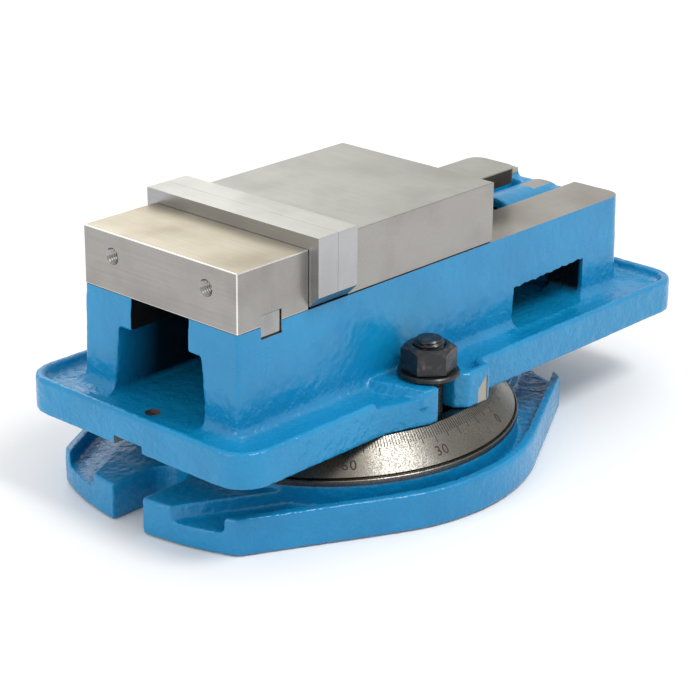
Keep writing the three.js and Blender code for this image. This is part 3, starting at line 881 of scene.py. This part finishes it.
def channel_cutter(turn_x, turn_y, materials):
    """Straight run of the drip channel beside one flank, open through the lobe's end wall."""
    corner = math.asin(LOBE_HALF / LOBE_R)
    tangent = corner + math.acos(SIDE_R / LOBE_R)
    start = Vector((LOBE_R * math.cos(corner), LOBE_R * math.sin(corner)))
    end = Vector((SIDE_R * math.cos(tangent), SIDE_R * math.sin(tangent)))
    along = (end - start).normalized()
    inward = Vector((-along.y, along.x))
    length = (end - start).length
    rings = []
    for z, widen in ((CHANNEL_FLOOR, 0.0), (CHANNEL_FLOOR + 1.2, 0.8), (WALL_TOP + 4, 1.6)):
        near, far = WALL_T - widen * 0.5, WALL_T + CHANNEL_T + widen
        places = [(-30, far), (-30, near), (length, near), (length, far)]
        ring = [start + along * run + inward * offset for run, offset in places]
        rings.append([(turn_x * p.x, turn_y * p.y, z) for p in ring])
    return loft("channel", rings, materials)


def channel_arc_cutter(side, materials):
    outer = arc(0, 0, SIDE_R - WALL_T, 58, 122, 30)
    inner = arc(0, 0, DIAL_R - 4, 122, 58, 30)
    outline = [(x, side * y) for x, y in outer + inner]
    return prism("channel_arc", outline, CHANNEL_FLOOR, WALL_TOP + 4, "z", materials)


def hold_slot_cutter(side, materials):
    half = HOLD_SLOT_HALF
    outline = [*arc(HOLD_SLOT_X, 0, half, 90, 270, 16), (140, -half), (140, half)]
    outline = [(side * x, y) for x, y in outline]
    return prism("hold_slot", outline, -4, LIP_TOP + 4, "z", materials)


def make_base():
    materials = [BASE_PAINT, WAY_STEEL, RUST, MARK]
    levels = [(0, 0.6), (1.0, 0), (WALL_TOP - 1.0, 0), (WALL_TOP, 0.9)]
    base = stack("base_casting", base_outline(), levels, materials)
    cuts = [channel_cutter(a, b, materials) for a in (-1, 1) for b in (-1, 1)]
    cuts += [channel_arc_cutter(side, materials) for side in (-1, 1)]
    cut(base, *cuts)
    join(base, rod("hub", DIAL_R - 0.2, 2, DIAL_SEAT, (0, 0, 0), "z", materials, 0, 128))
    cut(base, *[hold_slot_cutter(side, materials) for side in (-1, 1)])
    cast(base, 0.3, 0.36)
    far = LOBE_R + 9
    cut(base, block("under", (-far, -far, -9), (far, far, 0.25), materials, 1))
    seat = [(0, DIAL_SEAT - 0.9), (DIAL_R + 2, DIAL_SEAT - 0.9), (DIAL_R + 2, 40), (0, 40)]
    cut(base, lathe("seat", seat, (0, 0, 0), "z", materials, 160, 1))
    smooth(base, 38.0)
    finish_piece(base, "base", "base_enamel", "swivel_base")


def cone_point(angle, down, lift):
    """Point on the graduated cone: down is measured along the slope from its top edge."""
    run, rise = CONE_R - CONE_TOP_R, CONE_TOP - LIP_TOP - 1
    slope = math.hypot(run, rise)
    radius = CONE_TOP_R + down * run / slope + lift * rise / slope
    z = CONE_TOP - down * rise / slope + lift * run / slope
    return Vector((radius * math.cos(angle), radius * math.sin(angle), z))


def tick_cutters(materials):
    """One thin cutter for each degree, longer at each fifth and tenth."""
    vertices, faces = [], []
    for degree in range(360):
        length = 8.8 if degree % 10 == 0 else 7.4 if degree % 5 == 0 else 5.4
        angle = math.radians(ZERO_ANGLE + degree)
        first = len(vertices)
        for down in (-1.5, length):
            for turn in (-TICK_HALF, TICK_HALF):
                for lift in (-0.22, 0.8):
                    vertices.append(cone_point(angle + turn, down, lift))
        for face in ((0, 1, 3, 2), (4, 6, 7, 5), (0, 4, 5, 1), (2, 3, 7, 6), (0, 2, 6, 4), (1, 5, 7, 3)):
            faces.append(tuple(first + corner for corner in face))
    return make("ticks", vertices, faces, materials, 1)


def number_cutter(text, angle, materials):
    """Number solid, readable from outside, standing through the cone's surface."""
    data = bpy.data.curves.new("number", "FONT")
    data.body = text
    data.size = 6.6 * MM
    data.extrude = 0.6 * MM
    data.space_character = 1.15
    data.align_x = "CENTER"
    data.align_y = "CENTER"
    data.resolution_u = 4
    label = bpy.data.objects.new("number", data)
    scene.collection.objects.link(label)
    centre = cone_point(angle, NUMBER_DOWN, 0.38)
    upward = (cone_point(angle, 0, 0) - cone_point(angle, 1, 0)).normalized()
    across = Vector((-math.sin(angle), math.cos(angle), 0.0))
    turn = Matrix((across, upward, across.cross(upward))).transposed().to_4x4()
    label.matrix_world = Matrix.Translation(centre * MM) @ turn
    graph = bpy.context.evaluated_depsgraph_get()
    mesh = bpy.data.meshes.new_from_object(label.evaluated_get(graph))
    mesh.transform(label.matrix_world)
    bpy.data.objects.remove(label)
    vertices = [v.co / MM for v in mesh.vertices]
    faces = [tuple(p.vertices) for p in mesh.polygons]
    return make("number", vertices, faces, materials, 1)


def make_dial():
    """Machined ring of the base: lip, graduated cone and the T-slot for the clamp bolts."""
    materials = [DIAL_IRON, MARK]
    slot_z = box_mm("tbolt_far")[0][2] + 10.4
    profile = [
        (20.0, DIAL_SEAT - 0.8),
        (DIAL_R, DIAL_SEAT - 0.8),
        (DIAL_R, LIP_TOP - 0.3),
        (DIAL_R - 0.3, LIP_TOP),
        (CONE_R + 0.45, LIP_TOP),
        (CONE_R + 0.1, LIP_TOP - 0.9),
        (CONE_R - 0.7, LIP_TOP - 0.9),
        (CONE_R, LIP_TOP + 1.0),
        (CONE_TOP_R + 0.3, CONE_TOP - 0.3),
        (CONE_TOP_R - 0.3, CONE_TOP),
        (BOLT_R + 7.8, CONE_TOP),
        (BOLT_R + 7.8, slot_z),
        (BOLT_R - 7.8, slot_z),
        (BOLT_R - 7.8, CONE_TOP),
        (20.0, CONE_TOP),
    ]
    dial = lathe("dial", profile, (0, 0, 0), "z", materials, 360)
    cut(dial, tick_cutters(materials))
    for number in range(0, 100, 30):
        for sign in ((1,) if number == 0 else (-1, 1)):
            for turn in (0, 180):
                angle = math.radians(ZERO_ANGLE + turn + sign * number)
                if number == 90 and turn == 180:
                    continue
                cut(dial, number_cutter(str(number), angle, materials))
    smooth(dial, 20.0)
    finish_piece(dial, "base", "dial_iron")


# ---------------------------------------------------------------- jaws
def refinish(piece, index, chosen):
    """Gives another material to the faces picked by chosen(normal)."""
    for face in piece.data.polygons:
        if chosen(face.normal):
            face.material_index = index


def threaded_holes(piece, mouth, start, end, materials, index):
    """Two M8 holes along X, with a small countersink at the mouth."""
    low, high = box_mm("fixed_plate_screw_far")
    y, z = (low[1] + high[1]) / 2, (low[2] + high[2]) / 2
    for side in (-1, 1):
        centre = (0, side * y, z)
        cut(piece, thread("tapping", M8, start, end, centre, "x", materials, index, -0.25))
        cone = [(0, mouth - 1), (4.6, mouth - 1), (3.9, mouth), (3.2, mouth + 0.7), (0, mouth + 0.7)]
        cut(piece, lathe("countersink", cone, centre, "x", materials, 48, index))


def is_bevel(normal):
    """True for a face that is turned away from all three axes."""
    return max(abs(part) for part in normal) < 0.98


def make_fixed_jaw():
    materials = [JAW_STEEL, TAPPED_STEEL, WARM_LIT_TOP_STEEL, EDGE_HIGHLIGHT_STEEL]
    low = (FIXED_LOW[0], FIXED_LOW[1], FIXED_LOW[2] - JAW_DROP)
    jaw = block("fixed_jaw_block", low, FIXED_HIGH, materials)
    ease_edges(jaw, 0.45)
    # painted light: faces pointing up take the warmer, brighter copy of the jaw steel
    refinish(jaw, 2, lambda normal: normal.z > 0.95)
    # painted highlight: the bevel faces take the near-white edge steel
    refinish(jaw, 3, is_bevel)
    slot_low = (KEY_LOW[0] - GAP, -HALF - 5, FIXED_LOW[2] - 5)
    slot_high = (KEY_HIGH[0] + GAP, HALF + 5, KEY_HIGH[2] + GAP)
    cut(jaw, block("slot", slot_low, slot_high, materials))
    threaded_holes(jaw, REAR, REAR - 2, FIXED_HIGH[0] + 2, materials, 1)
    smooth(jaw, 40.0)
    finish_piece(jaw, "vise", "ground_jaw", "fixed_jaw")


def make_key():
    key = block("cross_key", KEY_LOW, KEY_HIGH, [SCREW_STEEL])
    ease_edges(key, 0.5)
    smooth(key, 40.0)
    finish_piece(key, "vise", "way_iron", "fixed_jaw_key")


def make_plate(node, screw, facing):
    """Jaw plate: chamfered lower corners and two counterbored holes."""
    materials = [PLATE_STEEL, SCREW_STEEL, PLATE_LIT_TOP_STEEL]
    low, high = box_mm(node)
    if facing > 0:
        high[0] += PLATE_CLOSE
    else:
        low[0] -= PLATE_CLOSE
    chamfer = 5.0
    outline = [
        (low[1] + chamfer, low[2]), (high[1] - chamfer, low[2]), (high[1], low[2] + chamfer),
        (high[1], high[2]), (low[1], high[2]), (low[1], low[2] + chamfer),
    ]
    plate = prism(node + "_ground", outline, low[0], high[0], "x", materials)
    ease_edges(plate, 0.16)
    # painted light: faces pointing up take the brighter copy of the plate steel
    refinish(plate, 2, lambda normal: normal.z > 0.95)
    screw_low, screw_high = box_mm(screw + "_far")
    y, z = (screw_low[1] + screw_high[1]) / 2, (screw_low[2] + screw_high[2]) / 2
    face = high[0] if facing > 0 else low[0]
    start, end = sorted((face + facing * 3, face - facing * (8.6 + PLATE_CLOSE)))
    for side in (-1, 1):
        cut(plate, rod("sink", 7.2, start, end, (0, side * y, z), "x", materials, 1))
        cut(plate, rod("bore", 4.3, low[0] - 3, high[0] + 3, (0, side * y, z), "x", materials, 1))
    smooth(plate, 40.0)
    finish_piece(plate, "vise" if facing > 0 else "jaw", "ground_plate", node)


def cap_screw(node, axis, head_r, head_t, socket, sunk, kind, body):
    """Socket head screw along X or Z; sunk is +1 where the head is at the high end."""
    low, high = box_mm(node)
    a = "xyz".index(axis)
    centre = [(l + h) / 2 for l, h in zip(low, high)]
    centre[a] = 0
    face = high[a] if sunk > 0 else low[a]
    tail = low[a] if sunk > 0 else high[a]
    under = face - sunk * head_t
    start, end = sorted((face, under))
    screw = rod(node + "_turned", head_r, start, end, centre, axis, [BLACK], 0, 96, 0.5)
    start, end = sorted((under + sunk * 0.5, tail))
    join(screw, thread("shank", kind, start, end, centre, axis, [BLACK], 0, -0.12, 0.8))
    start, end = sorted((face + sunk * 2, face - sunk * socket * 0.6))
    hexagon = arc(0, 0, socket / math.sqrt(3), 0, 300, 5)
    if axis == "x":
        points = [(centre[1] + p, centre[2] + q) for p, q in hexagon]
    else:
        points = [(centre[0] + p, centre[1] + q) for p, q in hexagon]
    cut(screw, prism("socket", points, start, end, axis, [BLACK]))
    smooth(screw, 35.0)
    finish_piece(screw, body, "black_oxide", node)


def make_movable_jaw():
    materials = [JAW_STEEL, SHADE_STEEL, LIT_TOP_STEEL, TAPPED_STEEL]
    tail_end = JAW_HIGH[0]
    low, high = (JAW_LOW[0], -HALF, WAY + 0.4), (BLOCK_END, HALF, JAW_HIGH[2])
    jaw = block("movable_jaw_block", low, high, materials)
    ease_edges(jaw, 0.4)
    # painted light: faces pointing up take the brighter copy of the jaw steel
    refinish(jaw, 2, lambda normal: normal.z > 0.95)
    outline = rounded([
        (BLOCK_END - 6, -TAIL_HALF, 0),
        (tail_end, -TAIL_HALF, 7.0),
        (tail_end, TAIL_HALF, 7.0),
        (BLOCK_END - 6, TAIL_HALF, 0),
    ], 10)
    tail = prism("tail", outline, TAIL_LOW, TAIL_TOP, "z", materials)
    ease_edges(tail, 0.4)
    # painted shade: the tail's sides and underside take the near-black shade steel (index 1)
    refinish(tail, 1, lambda normal: normal.z < 0.3)
    # painted light: the tail's top takes the brighter copy of the jaw steel
    refinish(tail, 2, lambda normal: normal.z > 0.95)
    guide_half = SLOT_HALF - 0.4
    guide = block("guide", (28, -guide_half, WAY - 2), (BLOCK_END, guide_half, WAY + 3), materials)
    join(jaw, tail, guide)
    # painted shade: the pocket's faces take the near-black shade steel (index 1)
    cut(jaw, block("pocket", (-27.5, -SLOT_HALF, WAY - 5), (22, SLOT_HALF, WAY + 20), materials, 1))
    threaded_holes(jaw, JAW_LOW[0], JAW_LOW[0] - 2, JAW_LOW[0] + 24, materials, 3)
    smooth(jaw, 40.0)
    finish_piece(jaw, "jaw", "ground_jaw", "movable_jaw")


# ---------------------------------------------------------------- screw and bearing
def make_lead_screw():
    centre = (0, 0, SCREW_Z)
    materials = [SCREW_STEEL]
    collar = box_mm("bearing_race_rear")[0][0] - 5.3
    hexagon_start = SCREW_HIGH[0] - 24
    screw = thread("lead_screw_turned", LEAD, SCREW_LOW[0], collar + 1, centre, "x", materials, 0, 0.0, 2.0)
    join(screw, rod("collar", 14, collar, collar + 5, centre, "x", materials, 0, 96, 0.5))
    join(screw, rod("journal", JOURNAL_R, collar + 3, hexagon_start + 1, centre, "x", materials, 0, 96, 0.4))
    points = [(p, SCREW_Z + q) for p, q in arc(0, 0, 17 / math.sqrt(3), 0, 300, 5)]
    end = prism("hexagon", points, hexagon_start, SCREW_HIGH[0], "x", materials)
    length = SCREW_HIGH[0]
    shaped = [(0, hexagon_start - 1), (11, hexagon_start - 1), (11, length - 1.5), (8.3, length), (0, length)]
    combine(end, lathe("turning", shaped, centre, "x", materials, 96), "INTERSECT")
    join(screw, end)
    smooth(screw, 30.0)
    finish_piece(screw, "screw", "screw_steel", "lead_screw")


def make_bearing():
    centre = (0, 0, SCREW_Z)
    low, high = box_mm("bearing_cage")
    inner, outer = JOURNAL_R + 0.5, (high[1] - low[1]) / 2
    middle = (low[0] + high[0]) / 2
    profile = [(inner, middle - 0.9), (outer - 0.3, middle - 0.9), (outer, middle - 0.6),
               (outer, middle + 0.6), (outer - 0.3, middle + 0.9), (inner, middle + 0.9)]
    cage = lathe("ball_cage", profile, centre, "x", [DIAL_IRON], 96)
    ball_r = (high[0] - low[0]) / 2
    ball_ring = (inner + outer) / 2
    for i in range(12):
        angle = math.tau * i / 12
        at = (0, ball_ring * math.cos(angle), SCREW_Z + ball_ring * math.sin(angle))
        half_circle = [(max(r, 0.0), middle + x) for x, r in arc(0, 0, ball_r, 180, 0, 12)]
        half_circle[0] = (0, middle - ball_r)
        half_circle[-1] = (0, middle + ball_r)
        join(cage, lathe("ball", half_circle, at, "x", [DIAL_IRON], 20))
    smooth(cage, 40.0)
    finish_piece(cage, "screw", "dial_iron", "bearing_cage")
    for node, body in (("bearing_race_rear", "screw"), ("bearing_race_front", "vise")):
        race = turned_ring(node, node + "_ground", SCREW_STEEL, 0.4)
        smooth(race, 30.0)
        finish_piece(race, body, "screw_steel", node)


def turned_ring(node, name, material, chamfer):
    """Ring on the screw's axis in the place of a CAD node, with both outer edges chamfered."""
    low, high = box_mm(node)
    inner, outer = JOURNAL_R + GAP, (high[1] - low[1]) / 2
    profile = [
        (inner, low[0]),
        (outer - chamfer, low[0]),
        (outer, low[0] + chamfer),
        (outer, high[0] - chamfer),
        (outer - chamfer, high[0]),
        (inner, high[0]),
    ]
    return lathe(name, profile, (0, 0, SCREW_Z), "x", [material], 96)


def make_outer_collar():
    low, high = box_mm("screw_collar")
    collar = turned_ring("screw_collar", "outer_collar", BLACK, 0.6)
    middle = (low[0] + high[0]) / 2
    cut(collar, rod("tapping", 2.9, SCREW_Z + 10, SCREW_Z + 30, (middle, 0, 0), "z", [BLACK], 0, 24))
    smooth(collar, 30.0)
    finish_piece(collar, "screw", "black_oxide", "screw_collar")


# ---------------------------------------------------------------- swivel clamp sets
def make_clamp_set(tag, side):
    y = side * BOLT_R
    centre = (0, y, 0)
    low, high = box_mm("tbolt_" + tag)
    head_top = low[2] + 9.8
    bolt = block("t_bolt_" + tag, low, (high[0], high[1], head_top), [BLACK])
    ease_edges(bolt, 0.8)
    join(bolt, thread("stud", M14, low[2] + 5, high[2], centre, "z", [BLACK], 0, 0.0, 1.4))
    smooth(bolt, 35.0)
    finish_piece(bolt, "vise", "black_oxide", "tbolt_" + tag)

    low, high = box_mm("washer_" + tag)
    outer = (high[0] - low[0]) / 2
    profile = [(7.3, low[2]), (outer - 0.5, low[2]), (outer, low[2] + 0.6),
               (outer, high[2] - 0.6), (outer - 0.6, high[2]), (7.3, high[2])]
    washer = lathe("thick_washer_" + tag, profile, centre, "z", [BLACK], 96)
    smooth(washer, 30.0)
    finish_piece(washer, "vise", "black_oxide", "washer_" + tag)

    low, high = box_mm("nut_" + tag)
    corner = NUT_FLATS / math.sqrt(3)
    turn = 90 + side * 13
    hexagon = [(x, y + q) for x, q in arc(0, 0, corner, turn, turn + 300, 5)]
    nut = prism("hexagon_nut_" + tag, hexagon, low[2], high[2], "z", [BLACK])
    crown = NUT_FLATS * 0.43
    fall = (corner - crown) * 0.62
    profile = [(0, low[2]), (NUT_FLATS * 0.475, low[2]), (corner, low[2] + 0.5),
               (corner, high[2] - fall), (crown, high[2]), (0, high[2])]
    combine(nut, lathe("turning", profile, centre, "z", [BLACK], 128), "INTERSECT")
    bore = [(0, low[2] - 1), (8.6, low[2] - 1), (7.2, low[2] + 0.8), (7.2, high[2] - 0.8),
            (8.6, high[2] + 1), (0, high[2] + 1)]
    cut(nut, lathe("bore", bore, centre, "z", [BLACK], 64))
    smooth(nut, 25.0)
    finish_piece(nut, "vise", "black_oxide", "nut_" + tag)


# ---------------------------------------------------------------- carried-over CAD nodes
def dress_cad_nodes():
    """Finishes of the hidden CAD pieces that stay as they are."""
    looks = {
        "jaw_nut": WAY_STEEL,
        "lock_segment": SCREW_STEEL,
        "centre_pivot": DIAL_IRON,
        "collar_set_screw": BLACK,
    }
    for node, material in looks.items():
        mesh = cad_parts[node].data
        mesh.materials.clear()
        mesh.materials.append(material)


make_camera()
make_studio()
make_body()
make_base()
make_dial()
make_fixed_jaw()
make_key()
make_plate("fixed_jaw_plate", "fixed_plate_screw", 1)
make_plate("movable_jaw_plate", "movable_plate_screw", -1)
make_movable_jaw()
make_lead_screw()
make_bearing()
make_outer_collar()
for tag, side in (("near", -1), ("far", 1)):
    make_clamp_set(tag, side)
    cap_screw("fixed_plate_screw_" + tag, "x", 6.5, 7.7, 6.0, 1, M8, "vise")
    cap_screw("movable_plate_screw_" + tag, "x", 6.5, 7.7, 6.0, -1, M8, "jaw")
    cap_screw("fixed_jaw_bolt_" + tag, "z", 8.6, 10.5, 8.0, -1, M10, "vise")
dress_cad_nodes()
